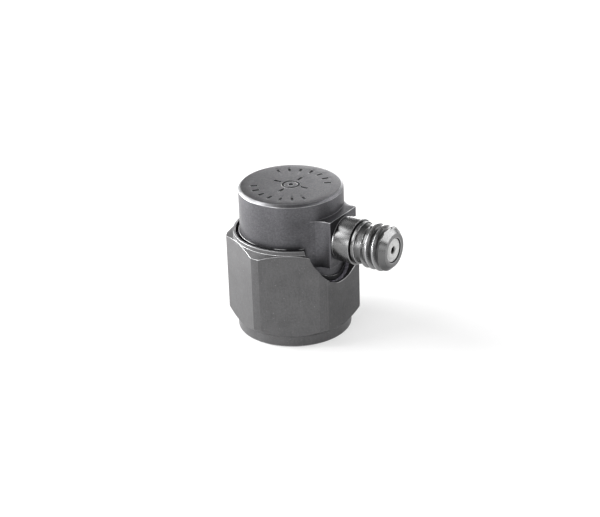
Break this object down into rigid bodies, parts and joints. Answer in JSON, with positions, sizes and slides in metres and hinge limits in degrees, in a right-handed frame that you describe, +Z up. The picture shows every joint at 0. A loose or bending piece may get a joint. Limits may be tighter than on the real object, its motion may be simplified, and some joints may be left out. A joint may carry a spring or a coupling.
{
  "type": "vibration sensor",
  "caption": "Small hexagonal vibration sensor with a round potted case, a threaded side connector and a stud hole in its isolated base.",
  "frame": {"origin": "centre of the foot's underside, on the axis of the stud hole", "axes": "+Z up the case, +X out along the side connector, +Y completes the right-handed frame; two flats of the hexagon are square to X"},
  "size_m": [0.0189, 0.0142, 0.0161],
  "materials": {
    "shell_steel": "satin dark grey, turned and milled",
    "case_steel": "satin dark grey, finely turned",
    "connector_steel": "bright turned steel",
    "spring_steel": "bright steel",
    "mass_metal": "ground heavy metal",
    "contact_brass": "gold flashed",
    "alumina": "white fired ceramic",
    "crystal": "silvered piezo ceramic",
    "chip_ceramic": "tan ceramic with tinned ends",
    "seal_glass": "dark sealing glass",
    "isolation_film": "dark film",
    "potting": "dark cured resin",
    "white_polymer": "white fluoropolymer",
    "board_laminate": "green solder mask",
    "chip_black": "moulded black"
  },
  "bodies": {
    "root": {"hex_base": "shell_steel", "isolation_disc": "alumina", "isolation_sleeve": "isolation_film", "potting_ring": "potting", "sensor_case": "case_steel", "case_base": "case_steel", "crystal_ring_lower": "crystal", "electrode_ring": "contact_brass", "crystal_ring_upper": "crystal", "post_bush": "white_polymer", "seismic_mass": "mass_metal", "spring_washer": "spring_steel", "preload_nut": "spring_steel", "amplifier_board": "board_laminate", "amplifier_chip": "chip_black", "chip_resistors": "chip_black", "chip_capacitors": "chip_ceramic", "signal_lead": "contact_brass", "output_lead": "contact_brass", "connector_shell": "connector_steel", "glass_seal": "seal_glass", "feedthrough_pin": "contact_brass", "connector_insulator": "white_polymer", "centre_contact": "contact_brass"}
  },
  "joints": []
}
